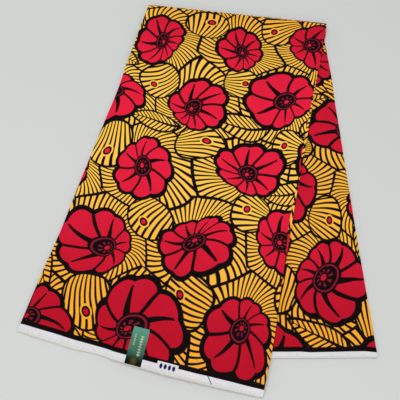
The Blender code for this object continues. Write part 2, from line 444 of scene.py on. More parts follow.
def wandering(folds, number, walk):
    """How far one fold lies in from the strip's straight edge, at a distance along the ply."""
    inset, wander, wave_long = folds[number % len(folds)]
    return (inset + wander * math.sin(2 * math.pi * (walk / MM / wave_long + number * FOLD_SHIFT))) * MM


def ridge_height(across, up):
    """The soft ridges of the front ply at a place, across it and up from its selvedge."""
    total = 0.0
    for middle, middle_up, heading, half_long, half_wide, height in RIDGES:
        turned = math.radians(heading)
        x, y = across / MM - middle, up / MM - middle_up
        run = (x * math.cos(turned) + y * math.sin(turned)) / half_long
        side = (y * math.cos(turned) - x * math.sin(turned)) / half_wide
        total += height * math.exp(-run * run - side * side)
    return total * MM


def front_relief(fold, across, up, right_edge):
    """How far the front ply lies above the ply under it: broad and fine rolls, a free edge, and ridges."""
    least, roll_high, fine_high, edge_high, edge_wave = 0.1, 0.3, 0.06, 0.35, 0.3  # mm
    flat_run, edge_run = 30 * MM, 11 * MM
    roll = waver(across / (75 * MM), up / (110 * MM), 3.7)
    fine = waver(across / (22 * MM), up / (30 * MM), 9.1)
    soft = least + roll_high * (roll + 1) / 2 + fine_high * fine
    free = math.exp(-(right_edge - across) / edge_run) * (edge_high + edge_wave * waver(1.3, up / (45 * MM)))
    from_turn = ease((fold.front_long - up) / flat_run)
    return ((soft + max(0.0, free)) * MM + ridge_height(across, up)) * from_turn


def back_relief(fold, across, along):
    """How far the back ply lies above the ply under it: most where it shows, right of the front leg."""
    least, roll_high, grows_from, grow_run = 0.06, 0.5, 12 * MM, 30 * MM  # heights mm
    shows = across - (fold.wide - along * math.sin(2 * fold.lean))
    roll = waver(across / (60 * MM), along / (90 * MM), 6.3)
    return (least + roll_high * (roll + 1) / 2 * ease((shows - grows_from) / grow_run)) * MM


def droop(fold, across, up):
    """How far the front ply has come down at a place, across it and up from its printed edge."""
    share = 1 - ease((across / fold.wide - DROOP_FROM) / (DROOP_TO - DROOP_FROM))
    reach = DROOP_BEND + length_at(OVERHANG, across)
    past = min(max(0.0, DROOP_BEND - up) / reach, 1.0)
    return share * DROOP_DOWN * (1 - math.sqrt(1 - past * past))


def showing_section(bend, right_edge, under, top, columns, edge_columns):
    """A showing ply's middle line as (across, out), and how many of its points come before its face.

    It begins with a hidden tail, rolls over at the left, and has closer columns near its right edge,
    which edge_columns gives in millimetres in from it.
    """
    hidden = [(PLY_TAIL * step / 3, under) for step in (3, 2, 1)] + folded_arc(bend, -1, under, top)
    even_to = right_edge - edge_columns[0] * MM
    spread = [bend + (even_to - bend) * i / columns for i in range(1, columns + 1)]
    spread += [right_edge - edge * MM for edge in edge_columns[1:]]
    return hidden + [(across, top) for across in spread], len(hidden)


def make_front_cloth(fold):
    """The front leg's top ply, its rolled left edge and its way round the turn."""
    end_rows, leg_rows, turn_rows, tail_rows = 10, 118, 14, 4
    columns, edge_columns = 62, (6, 3, 1.4, 0.6, 0)
    near_end = 0.012  # the share of the leg that has closer rows, where it droops
    rows = [(FRONT, 0.0, 1 - near_end * (k / end_rows) ** 1.7) for k in range(end_rows)]
    rows += [(FRONT, 0.0, (1 - near_end) * (1 - k / leg_rows)) for k in range(leg_rows + 1)]
    rows += [(TURN, math.pi * k / turn_rows, 0.0) for k in range(1, turn_rows + 1)]
    rows += [(BACK, PLY_TAIL * k / tail_rows, 0.0) for k in range(1, tail_rows + 1)]
    top, under = fold.level(0), fold.level(1)
    radius = (top - under) / 2
    sections = []
    for leg, start, share in rows:
        walk = fold.walk(leg, start, share)
        up = min(walk, fold.long(FRONT, fold.wide))
        sway = length_at(EDGE_SWAY, up) if leg == FRONT else 0.0
        fray = 0.12 * MM * waver(walk / (4 * MM), 5.0)
        right_edge = fold.wide + sway + fray
        left_edge = 0.25 * MM * waver(walk / (60 * MM), 2.0)
        bend = left_edge + radius + fold.ply_thick / 2
        section, face_from = showing_section(bend, right_edge, under, top, columns, edge_columns)
        line = []
        for at, (across, out) in enumerate(section):
            lift = front_relief(fold, across, up, right_edge) * ease(across / LEFT_ROLL)
            if leg == FRONT:
                end = fold.long(FRONT, across)
                lift -= droop(fold, across, end - (end + length_at(OVERHANG, across)) * share)
            if at < face_from:
                line.append((across, out + min(lift, 0.0), -across - 2 * radius, 0))
            else:
                line.append((across, out + lift, across, 0))
        sections.append(line)

    def ply_long(leg, across, _):
        wobble = 0.3 * MM * waver(across / (14 * MM), 8.0)
        return fold.long(leg, across) + length_at(OVERHANG, across) + wobble

    return swept_sheet("front_cloth", fold, rows, sections, fold.ply_thick, ply_long)


def make_back_cloth(fold):
    """The back leg's top ply, from under the turn down to its own selvedge."""
    leg_rows, columns, edge_columns = 104, 60, (6, 4, 2.4, 1.2, 0.5, 0)
    rows = [(BACK, BACK_PLY_FROM, k / leg_rows) for k in range(leg_rows + 1)]
    top = fold.out - fold.settles - (fold.back_top - fold.ply_thick / 2)
    under = top + fold.pitch
    radius = (under - top) / 2
    bend = radius + fold.ply_thick / 2
    sections = []
    for leg, start, share in rows:
        along = start + (fold.back_long - start) * share
        right_edge = fold.wide + 0.5 * MM * waver(fold.walk(leg, start, share) / (70 * MM), 4.0)
        section, face_from = showing_section(bend, right_edge, under, top, columns, edge_columns)
        line = []
        for at, (across, out) in enumerate(section):
            if at < face_from - 1:
                line.append((across, out, -across - 2 * radius - BACK_PRINT_FROM, 0))
            else:
                lift = back_relief(fold, across, along) * ease(across / LEFT_ROLL)
                line.append((across, out - lift, across - BACK_PRINT_FROM, 0))
        sections.append(line)

    def ply_long(leg, across, _):
        return fold.long(leg, across) - BACK_SHORT + 0.3 * MM * waver(across / (13 * MM), 11.0)

    return swept_sheet("back_cloth", fold, rows, sections, fold.ply_thick, ply_long)


def inner_columns(fold, leg, along):
    """Where the inner plies have points across: closest where the front leg drops off the back one."""
    start, end, least = 14.5 * MM, fold.wide - 9 * MM, 30 * MM
    flat_most, drop_most = 0.55 * fold.wide, 0.8 * fold.wide
    dropped = along * math.sin(2 * fold.lean) if leg == FRONT else 0.0
    flat_to = min(max(dropped - DROP_FROM - DROP_RUN, least), flat_most)
    drop_to = min(max(dropped - DROP_FROM, flat_to + least), drop_most)
    knots = ((start, flat_to, 2), (flat_to, drop_to, 8), (drop_to, end, 3))
    columns = [low + (high - low) * i / count for low, high, count in knots for i in range(count)]
    return columns + [end]


def make_inner_plies(fold, plies):
    """All plies between the showing ones, as the one sheet that they are, folded back and forth."""
    leg_rows, turn_rows, arc_steps = 44, 10, 3
    rows = [(FRONT, 0.0, 1 - k / leg_rows) for k in range(leg_rows + 1)]
    rows += [(TURN, math.pi * k / turn_rows, 0.0) for k in range(1, turn_rows + 1)]
    rows += [(BACK, 0.0, k / leg_rows) for k in range(1, leg_rows + 1)]
    sections = []
    for leg, start, share in rows:
        walk = fold.walk(leg, start, share)
        columns = inner_columns(fold, leg, fold.front_long * share)
        line = []
        for ply in range(1, plies + 1):
            rightwards = ply % 2 == 1
            level = fold.level(ply)
            line += [(across, level, ply) for across in (columns if rightwards else columns[::-1])]
            if ply == plies:
                break
            side, edge, folds = (1, fold.wide, RIGHT_FOLDS) if rightwards else (-1, 0.0, LEFT_FOLDS)
            inset = wandering(folds, (ply - 1) // 2, walk) + fold.pitch / 2 + fold.inner_thick / 2
            arc = folded_arc(edge - side * inset, side, level, fold.level(ply + 1), arc_steps)
            line += [(across, out, ply + at / arc_steps) for at, (across, out) in enumerate(arc)]
        section, run, before = [], -PLY_TAIL, line[0]
        for across, out, ply in line:
            run -= math.hypot(across - before[0], out - before[1])
            before = (across, out)
            section.append((across, out, run, ply))
        sections.append(section)

    def ply_long(leg, across, ply):
        number = min(int(ply) - 1, plies - 1)
        stands_out = SELVEDGE_OUT[number % len(SELVEDGE_OUT)] * MM
        if leg == BACK:
            return fold.long(leg, across) - BACK_SHORT + stands_out * BACK_STANDS_OUT
        loose = between(LOOSE, across / MM)
        return fold.long(leg, across) + SELVEDGE_LEVEL + (stands_out - SELVEDGE_LEVEL) * loose

    return swept_sheet("inner_plies", fold, rows, sections, fold.inner_thick, ply_long)


def make_foil_sticker(fold, sticker):
    """The foil sticker: thin, with rounded corners, its edges and its far corners a little up."""
    columns, rows = 10, 22
    corner, glue, curl, curl_run = 0.5 * MM, 0.12 * MM, 0.22 * MM, 1.8 * MM
    low_curl = 0.4  # the share of the curl at the foot
    middle = sticker.left + sticker.wide / 2
    places, upper, lower = [], [], []
    for k in range(rows + 1):
        up = sticker.long * (k / rows) ** 1.5
        near_end = min(up, sticker.long - up)
        cut = corner - math.sqrt(max(0.0, corner**2 - (corner - min(near_end, corner)) ** 2))
        for i in range(columns + 1):
            side = cut + (sticker.wide - 2 * cut) * i / columns
            across = sticker.left + side - up * math.tan(sticker.tilt)
            edge = min(side, sticker.wide - side, near_end)
            lift = glue + curl * math.exp(-edge / curl_run) * (low_curl + (1 - low_curl) * k / rows)
            from_low = up - sticker.drop
            ground = fold.out + front_relief(fold, across, from_low, fold.wide) + lift
            ground -= droop(fold, across, from_low) * STICKER_BENDS
            along = fold.long(FRONT, middle) + (across - middle) * math.tan(fold.lean) - from_low
            upper.append(fold.place(FRONT, across, along, ground + sticker.thick))
            lower.append(fold.place(FRONT, across, along, ground))
            places.append((side, up))
    wide, count = columns + 1, len(upper)
    faces = []
    for k in range(rows):
        for i in range(columns):
            a, b, c, d = k * wide + i, k * wide + i + 1, (k + 1) * wide + i + 1, (k + 1) * wide + i
            faces += [(a, b, c, d), (d + count, c + count, b + count, a + count)]
    rim = list(range(wide))
    rim += [k * wide + columns for k in range(1, rows + 1)]
    rim += [rows * wide + i for i in range(columns - 1, -1, -1)]
    rim += [k * wide for k in range(rows - 1, 0, -1)]
    for first, second in zip(rim, rim[1:] + rim[:1]):
        faces.append((second, first, first + count, second + count))
    return cloth_object("foil_sticker", upper + lower, faces, places + places)


def node_adder(tree):
    """The one small function that adds a node to a tree."""

    def add(kind, *inputs, **settings):
        """Add a node: its settings by name, and its inputs in order, or by name in a dictionary.

        An input takes a number, a colour, a socket, or a node, which stands for its first live output.
        """
        node = tree.nodes.new(kind if kind.startswith("Node") else "ShaderNode" + kind)
        for name, value in settings.items():
            setattr(node, name, value)
        if inputs and isinstance(inputs[0], dict):
            pairs = [(node.inputs[name], value) for name, value in inputs[0].items()]
        else:
            pairs = zip([socket for socket in node.inputs if socket.enabled], inputs)
        for socket, value in pairs:
            if isinstance(value, bpy.types.Node):
                value = next(output for output in value.outputs if output.enabled)
            if isinstance(value, bpy.types.NodeSocket):
                tree.links.new(value, socket)
            else:
                socket.default_value = value
        return node

    return add


def new_material(name):
    """An empty node material, and the function that adds its nodes."""
    material = bpy.data.materials.new(name)
    material.use_nodes = True
    material.node_tree.nodes.clear()
    return material, node_adder(material.node_tree)


def mapped_place(add):
    """A place on the flat cloth or sticker in millimetres, and how far it is across and up."""
    point = add("VectorMath", add("UVMap", uv_map="Cloth"), (1 / MM, 1 / MM, 0.0), operation="MULTIPLY")
    parts = add("SeparateXYZ", point)
    return point, parts.outputs["X"], parts.outputs["Y"]


def inked(add, colour, *layers):
    """A colour with inks laid over it in order, each by its mask."""
    for mask, ink in layers:
        colour = add("Mix", mask, colour, ink, data_type="RGBA")
    return colour


def polar(add, place, centre):
    """How far a place is from a centre, and at what angle."""
    moved = add("VectorMath", place, centre, operation="SUBTRACT")
    parts = add("SeparateXYZ", moved)
    angle = add("Math", parts.outputs["Y"], parts.outputs["X"], operation="ARCTAN2")
    return add("VectorMath", moved, operation="LENGTH"), angle


def outside(add, value, middle, half):
    """How far a value lies outside a span, as a signed distance."""
    off = add("Math", value, middle, operation="SUBTRACT")
    off = add("Math", off, operation="ABSOLUTE")
    return add("Math", off, half, operation="SUBTRACT")


def joined(add, *shapes):
    """Several shapes as one signed distance."""
    whole = shapes[0]
    for shape in shapes[1:]:
        whole = add("Math", whole, shape, operation="MINIMUM")
    return whole


def ink_edge(add, distance, soft=0.55):
    """The ink mask of a signed distance in millimetres, with the slight blur of ink on thread."""
    return add("Math", distance, -1 / soft, 0.5, operation="MULTIPLY_ADD", use_clamp=True)


def spokes(add, angle, radius, count, black):
    """Spokes round a point that widen outwards, black for a share of each step, as a signed distance."""
    turns = add("Math", angle, count / (2 * math.pi), operation="MULTIPLY")
    off = add("Math", turns, 0.5, operation="PINGPONG")
    wide = add("Math", off, 2 * math.pi / count, -black * math.pi / count, operation="MULTIPLY_ADD")
    return add("Math", wide, radius, operation="MULTIPLY")


def hatch_lines(add, run, pitch, black):
    """Even lines, black for a share of each step, as a signed distance."""
    off = add("Math", run, 1 / pitch, operation="MULTIPLY")
    off = add("Math", off, 0.5, operation="PINGPONG")
    return add("Math", off, pitch, -black * pitch / 2, operation="MULTIPLY_ADD")


def nearest_motif_group(spacing, jitter):
    """The node group that strews one kind of motif over two interleaved lattices, and gives the nearest."""
    tree = bpy.data.node_groups.new("Nearest motif", "ShaderNodeTree")
    for name, side, kind in (
        ("Point", "INPUT", "NodeSocketVector"),
        ("Seed", "INPUT", "NodeSocketFloat"),
        ("Place", "OUTPUT", "NodeSocketVector"),
        ("Chance", "OUTPUT", "NodeSocketVector"),
        ("Seam", "OUTPUT", "NodeSocketFloat"),
    ):
        tree.interface.new_socket(name, in_out=side, socket_type=kind)
    add = node_adder(tree)
    entry = add("NodeGroupInput")
    size = (spacing * math.sqrt(3), spacing, 1.0)
    found = []
    for lattice in (0.0, 0.5):
        shift = (size[0] * lattice, size[1] * lattice, 0.0)
        moved = add("VectorMath", entry.outputs["Point"], shift, operation="SUBTRACT")
        share = add("VectorMath", moved, size, operation="DIVIDE")
        share = add("VectorMath", share, (0.5, 0.5, 0.5), operation="ADD")
        cell = add("VectorMath", share, operation="FLOOR")
        whole = add("VectorMath", cell, size, operation="MULTIPLY")
        rest = add("VectorMath", moved, whole, operation="SUBTRACT")
        keyed = add("Math", entry.outputs["Seed"], lattice, operation="ADD")
        chance = add("TexWhiteNoise", cell, keyed, noise_dimensions="4D").outputs["Color"]
        spread, least = (2 * jitter, 2 * jitter, 0.0), (-jitter, -jitter, 0.0)
        stray = add("VectorMath", chance, spread, least, operation="MULTIPLY_ADD")
        place = add("VectorMath", rest, stray, operation="SUBTRACT")
        far = add("VectorMath", place, operation="LENGTH")
        height = add("Math", add("SeparateXYZ", rest).outputs["Y"], operation="ABSOLUTE")
        found.append((place, chance, far, height))
    (place_a, chance_a, far_a, height_a), (place_b, chance_b, far_b, height_b) = found
    nearer = add("Math", far_a, far_b, operation="LESS_THAN")
    place = add("Mix", nearer, place_b, place_a, data_type="VECTOR")
    chance = add("Mix", nearer, chance_b, chance_a, data_type="VECTOR")
    height = add("Mix", nearer, height_b, height_a, data_type="FLOAT")

    # A seam runs halfway between two motifs of different lattices, or of the same one
    gap = add("Math", far_a, far_b, operation="SUBTRACT")
    gap = add("Math", gap, operation="ABSOLUTE")
    gap = add("Math", gap, 0.5, operation="MULTIPLY")
    row_gap = add("Math", spacing / 2, height, operation="SUBTRACT")
    add("NodeGroupOutput", place, chance, joined(add, gap, row_gap))
    return tree


def turned_place(add, motifs, point, offset, seed):
    """A place as the nearest motif of one kind has it, turned with it, the motif's chances, and the seam."""
    moved = add("VectorMath", point, offset, operation="SUBTRACT")
    motif = add("Group", {"Point": moved, "Seed": seed}, node_tree=motifs)
    chances = add("SeparateXYZ", motif.outputs["Chance"])
    angle = add("Math", chances.outputs["Z"], 2 * math.pi, operation="MULTIPLY")
    turned = add("VectorRotate", {"Vector": motif.outputs["Place"], "Angle": angle}, rotation_type="Z_AXIS")
    return turned, chances, motif.outputs["Seam"]


def blossom(add, place, chances, inks):
    """An open blossom: petals, veins, the heart's rings, its eye, and rays, as signed distances."""
    eye_off, stretch, petal_swirl, ray_swirl = 13.0, 0.32, 0.007, 0.008
    base_wide, heart_wide, eye_wide = 30.0, 15.2, 2.9
    lobe_out, vein_end, parting_half = 30.6, 39.0, 1.6
    ring_wide, ring_half = 12.3, 0.8
    tick_count, tick_black, tick_wide, tick_half = 9, 0.4, 6.4, 1.7
    from_eye, angle = polar(add, place, (-eye_off, 0.0, 0.0))

    # Petals are longer on the side that faces the viewer, and blossoms differ in size
    longer = add("Math", angle, operation="COSINE")
    longer = add("Math", longer, stretch, 1.0, operation="MULTIPLY_ADD")
    radius = add("Math", from_eye, longer, operation="DIVIDE")
    size = add("Math", chances.outputs["Y"], -0.18, 1.06, operation="MULTIPLY_ADD")
    radius = add("Math", radius, size, operation="MULTIPLY")
    swirled = add("Math", radius, petal_swirl, angle, operation="MULTIPLY_ADD")

    # Half of the blossoms have five petals, and the others six
    six = add("Math", chances.outputs["X"], 0.5, operation="GREATER_THAN")
    petals = add("Math", six, 5.0, operation="ADD")
    sector = add("Math", 2 * math.pi, petals, operation="DIVIDE")
    number = add("Math", swirled, sector, operation="DIVIDE")
    number = add("Math", number, operation="ROUND")
    middle = add("Math", number, sector, operation="MULTIPLY")
    bearing = add("Math", swirled, middle, operation="SUBTRACT")
    out = add("Math", radius, add("Math", bearing, operation="COSINE"), operation="MULTIPLY")
    side = add("Math", radius, add("Math", bearing, operation="SINE"), operation="MULTIPLY")
    side = add("Math", side, operation="ABSOLUTE")

    # Each petal is two lobes side by side, narrower where there are six, and all share a round base
    lobe_side = add("Math", six, -2.0, 7.6, operation="MULTIPLY_ADD")
    lobe_wide = add("Math", six, -1.6, 13.6, operation="MULTIPLY_ADD")
    here = add("CombineXYZ", out, side, 0.0)
    lobe = add("CombineXYZ", lobe_out, lobe_side, 0.0)
    lobe = add("VectorMath", here, lobe, operation="DISTANCE")
    lobe = add("Math", lobe, lobe_wide, operation="SUBTRACT")
    base, heart, eye = (
        add("Math", radius, wide, operation="SUBTRACT") for wide in (base_wide, heart_wide, eye_wide)
    )
    shape = joined(add, lobe, base)

    # Veins: a tapering one down the middle, and the line between two petals
    taper = add("Math", out, -0.076, 3.9, operation="MULTIPLY_ADD")
    vein = add("Math", side, taper, operation="SUBTRACT")
    end = add("Math", out, vein_end, operation="SUBTRACT")
    vein = add("Math", vein, end, operation="MAXIMUM")
    half_sector = add("Math", sector, 0.5, operation="MULTIPLY")
    bearing = add("Math", bearing, operation="ABSOLUTE")
    parting = add("Math", half_sector, bearing, operation="SUBTRACT")
    parting = add("Math", parting, radius, -parting_half, operation="MULTIPLY_ADD")
    veins = joined(add, vein, parting, heart)

    # The heart: a maroon ring and a ring of short ticks round a crimson eye
    ring = outside(add, radius, ring_wide, ring_half)
    ticks = spokes(add, angle, radius, tick_count, tick_black)
    ticks = add("Math", ticks, outside(add, radius, tick_wide, tick_half), operation="MAXIMUM")

    # Rays from the eye, a little swirled
    swirled = add("Math", from_eye, ray_swirl, angle, operation="MULTIPLY_ADD")
    rays = spokes(add, swirled, from_eye, inks.rays, inks.hatch_black)
    return shape, veins, joined(add, ring, ticks), eye, rays


def seed_head(add, place, inks):
    """A round seed head, as signed distances: lines that fan out from one side, and an eye in a dark pit."""
    head_wide, eye_wide, pit_wide, clear_wide = 30.0, 3.4, 6.0, 8.2
    eye_off, fan_off, fan_lines = 9.0, 66.0, 58
    radius = add("VectorMath", place, operation="LENGTH")
    shape = add("Math", radius, head_wide, operation="SUBTRACT")
    reach, angle = polar(add, place, (-fan_off, 0.0, 0.0))
    rays = spokes(add, angle, reach, fan_lines, inks.hatch_black)
    from_eye = add("VectorMath", place, (eye_off, 0.0, 0.0), operation="DISTANCE")
    eye, pit = (add("Math", from_eye, wide, operation="SUBTRACT") for wide in (eye_wide, pit_wide))
    clear = add("Math", clear_wide, from_eye, operation="SUBTRACT")
    rays = add("Math", rays, clear, operation="MAXIMUM")
    return shape, joined(add, rays, pit), eye


def leaf(add, place, inks):
    """An almond leaf with a midrib and slanting hatch, as signed distances."""
    half_long, half_wide, rib_half, rib_grows, slope = 40.0, 15.5, 1.5, 0.025, 0.8
    curve = (half_long**2 + half_wide**2) / (2 * half_wide)
    parts = add("SeparateXYZ", place)
    side = add("Math", parts.outputs["Y"], operation="ABSOLUTE")
    offset = add("Math", side, curve - half_wide, operation="ADD")
    shape = add("VectorMath", add("CombineXYZ", parts.outputs["X"], offset, 0.0), operation="LENGTH")
    shape = add("Math", shape, curve, operation="SUBTRACT")
    rib = add("Math", parts.outputs["X"], rib_grows, rib_half, operation="MULTIPLY_ADD")
    rib = add("Math", side, rib, operation="SUBTRACT")
    slant = add("Math", side, slope, parts.outputs["X"], operation="MULTIPLY_ADD")
    return shape, joined(add, rib, hatch_lines(add, slant, inks.hatch_pitch / MM, inks.hatch_black))


def lay_over(add, lines, shape, outline, inside):
    """Draw a motif over the black lines so far: its outline round it, and its own lines inside it."""
    rim = add("Math", shape, outline, operation="SUBTRACT")
    lines = add("Math", lines, ink_edge(add, rim), operation="MAXIMUM")
    return add("Mix", ink_edge(add, shape), lines, ink_edge(add, inside), data_type="FLOAT")


def drawn_print(add, inks, point):
    """The masks of the print's black lines, its crimson, its heart marks and its eyes."""
    layout_turn, leaves_kept, out_of_reach = 0.31, 0.55, 100.0
    seam_half, head_outline, leaf_outline, red_under_line = 1.8, 3.2, 3.4, 1.0

    # The hand-cut stamp: the layout strays slowly over a hand's width, and each line a little over 30 mm
    drawn = point
    for wide, stray, detail in ((88, 38.0, 0.0), (30, 2.4, 1.0)):
        cloud = add("TexNoise", {"Vector": point, "Scale": 1 / wide, "Detail": detail}).outputs["Color"]
        drawn = add("VectorMath", cloud, (stray, stray, 0.0), drawn, operation="MULTIPLY_ADD")
    drawn = add("VectorRotate", {"Vector": drawn, "Angle": layout_turn}, rotation_type="Z_AXIS")

    # The three kinds of motif lie a third of a step apart along each row
    left, low, spacing = 20.0, 35.0, inks.spacing / MM
    step = spacing * math.sqrt(3)
    motifs = nearest_motif_group(spacing, jitter=8.0)
    bloom, bloom_chances, seam = turned_place(add, motifs, drawn, (left, low, 0.0), seed=1.0)
    head, _, _ = turned_place(add, motifs, drawn, (left + step / 6, low + spacing / 2, 0.0), seed=4.0)
    frond, frond_chances, _ = turned_place(add, motifs, drawn, (left + step / 3, low, 0.0), seed=7.0)
    petals, veins, rings, eye, rays = blossom(add, bloom, bloom_chances, inks)
    head_shape, head_lines, head_eye = seed_head(add, head, inks)
    leaf_shape, leaf_lines = leaf(add, frond, inks)

    # Nearly half of the leaves are left out, by a distance that no ink reaches
    bare = add("Math", frond_chances.outputs["X"], leaves_kept, operation="GREATER_THAN")
    leaf_shape = add("Math", bare, out_of_reach, leaf_shape, operation="MULTIPLY_ADD")

    # From the ground up: the rays to the seams, seed heads and leaves over them, the blossoms on top
    seam = add("Math", seam, seam_half, operation="SUBTRACT")
    lines = ink_edge(add, joined(add, rays, seam))
    lines = lay_over(add, lines, head_shape, head_outline, head_lines)
    lines = lay_over(add, lines, leaf_shape, leaf_outline, leaf_lines)
    lines = lay_over(add, lines, petals, inks.outline / MM, veins)
    under_line = add("Math", petals, red_under_line, operation="SUBTRACT")
    head_eyes = ink_edge(add, head_eye)
    red = add("Math", head_eyes, ink_edge(add, under_line), operation="MAXIMUM")
    eyes = add("Math", ink_edge(add, eye), head_eyes, operation="MAXIMUM")
    return lines, red, ink_edge(add, rings), eyes


def painted_shade_depth(add, across, to_edge):
    """Painted shade: how far the dyes are darkened to their shaded colours.

    The shade is painted more towards both selvedges and the middle crease than between them,
    and from one end of the length to the other the least of it grows to about half, darkening the back leg.
    """
    lightest_in, even_half, darkest_off = 345.0, 65.0, 350.0  # mm
    most_shade, far_end_shade = 0.84, 0.52
    away = outside(add, to_edge, lightest_in, even_half)
    leg_shade = {"Value": away, "From Max": darkest_off - even_half, "To Max": most_shade}
    leg_shade = add("MapRange", leg_shade, interpolation_type="SMOOTHSTEP")
    far = add("Math", across, -far_end_shade * MM / BACK_PRINT_FROM, operation="MULTIPLY")
    return add("Math", leg_shade, far, operation="MAXIMUM")


def printed_cotton(inks, cloth_wide):
    """Wax-print cotton: plain-weave percale, resist printed on both sides, then calendered.

    That gives flat, even colour with slightly soft line edges, a matt face, and a fine weave that
    breaks up the light.
    """
    material, add = new_material(COTTON)
    point, across, up = mapped_place(add)
    to_edge = joined(add, up, add("Math", cloth_wide / MM, up, operation="SUBTRACT"))
    lines, red, hearts, eyes = drawn_print(add, inks, point)
    # Painted shade: both dyes are darkened towards the selvedges, the turn and the back leg
    shade_share = painted_shade_depth(add, across, to_edge)
    yellow = inked(add, inks.yellow, (shade_share, inks.shaded_yellow))
    crimson = inked(add, inks.red, (shade_share, inks.shaded_red))
    colour = inked(add, yellow, (red, crimson), (lines, inks.black), (hearts, inks.maroon), (eyes, crimson))
    colour = selvedge_and_marks(add, inks, across, up, to_edge, colour)

    # Each dye takes unevenly: a slow mottle, and a grain just coarse enough for the render to show
    mottle = add("TexNoise", {"Vector": point, "Scale": 1 / 26, "Detail": 2.0}).outputs["Fac"]
    grain = add("TexNoise", {"Vector": point, "Scale": 1 / 1.7, "Detail": 1.0}).outputs["Fac"]
    uneven = add("Math", mottle, 0.16, 0.82, operation="MULTIPLY_ADD")
    uneven = add("Math", grain, 0.20, uneven, operation="MULTIPLY_ADD")
    colour = add("Mix", 1.0, colour, uneven, data_type="RGBA", blend_type="MULTIPLY", clamp_result=False)

    # Percale has about 34 threads to the centimetre, drawn four times as coarse so that it shows
    thread = 1.2
    weave = add("VectorMath", point, (math.pi / thread,) * 3, operation="MULTIPLY")
    weave = add("SeparateXYZ", add("VectorMath", weave, operation="SINE"))
    weave = add("Math", weave.outputs["X"], weave.outputs["Y"], operation="MULTIPLY")
    height = add("Math", grain, 0.8, weave, operation="MULTIPLY_ADD")
    look = {
        "Base Color": colour,
        "Roughness": add("Math", lines, -0.12, 0.78, operation="MULTIPLY_ADD"),
        "IOR": 1.5,
        "Specular IOR Level": 0.02,
        "Normal": add("Bump", {"Strength": 0.16, "Distance": 0.3 * MM, "Height": height}),
    }
    add("OutputMaterial", add("BsdfPrincipled", look))
    return material


def selvedge_and_marks(add, inks, across, up, to_edge, colour):
    """The black band and white selvedge along both sides of the cloth, and the mill's marks on them."""
    white_wide = inks.selvedge_wide / MM
    band = add("Math", to_edge, white_wide + inks.band_wide / MM, operation="SUBTRACT")
    white = add("Math", to_edge, white_wide, operation="SUBTRACT")

    # The mill's tab: a white patch that breaks the band, with a row of oval registration marks
    tab_left, tab_right, tab_high = 176.0, 201.5, 11.2
    mark_pitch, mark_radius, mark_up, wide_to_high, mark_inset = 5.2, 1.85, 6.4, 0.62, 2.4
    tab_across = add("Math", across, (tab_left + tab_right) / 2, operation="SUBTRACT")
    side = outside(add, tab_across, 0.0, (tab_right - tab_left) / 2)
    over = add("Math", up, tab_high, operation="SUBTRACT")
    white = joined(add, white, add("Math", side, over, operation="MAXIMUM"))
    dots = add("Math", tab_across, mark_pitch, operation="PINGPONG")
    dots = add("Math", dots, mark_pitch / 2, operation="SUBTRACT")
    dots_up = add("Math", up, mark_up, operation="SUBTRACT")
    dots_up = add("Math", dots_up, wide_to_high, operation="MULTIPLY")
    dots = add("VectorMath", add("CombineXYZ", dots, dots_up, 0.0), operation="LENGTH")
    dots = add("Math", dots, mark_radius, operation="SUBTRACT")
    inset = add("Math", side, mark_inset, operation="ADD")
    dots = add("Math", dots, inset, operation="MAXIMUM")

    # A short pen tick on the selvedge, from its top to its foot
    (top_across, top_up), (foot_across, foot_up), half_wide = (237.0, 8.4), (244.2, -0.5), 0.62
    slope = (foot_across - top_across) / (foot_up - top_up)
    tick = add("Math", up, -slope, across, operation="MULTIPLY_ADD")
    tick = outside(add, tick, top_across - top_up * slope, half_wide)
    short = add("Math", up, top_up, operation="SUBTRACT")
    tick = add("Math", tick, short, operation="MAXIMUM")

    # Painted shade: faint darker stripes across the selvedge, for the shade between its thicker threads, and
    # a darker, warmer tint towards the cloth's very edge, for the shade along the stack's edge
    rib_shade = add("CombineXYZ", across, add("Math", up, 0.3, operation="MULTIPLY"), 0.0)
    rib_shade = add("TexNoise", {"Vector": rib_shade, "Scale": 1 / 1.6, "Detail": 1.0})
    rib_shade = add("Math", rib_shade.outputs["Fac"], 2.6, -1.3, operation="MULTIPLY_ADD")
    edge_and_thread_shade = {"Value": to_edge, "From Min": -2.0, "From Max": 5.0, "To Min": 1.0, "To Max": 0.0}
    edge_and_thread_shade = add("Math", add("MapRange", edge_and_thread_shade), rib_shade, operation="ADD", use_clamp=True)
    cotton = inked(add, inks.cotton, (edge_and_thread_shade, inks.shaded_edge_cream))
    band, white, marks = (ink_edge(add, shape) for shape in (band, white, joined(add, dots, tick)))
    return inked(add, colour, (band, inks.black), (white, cotton), (marks, inks.mill_ink))


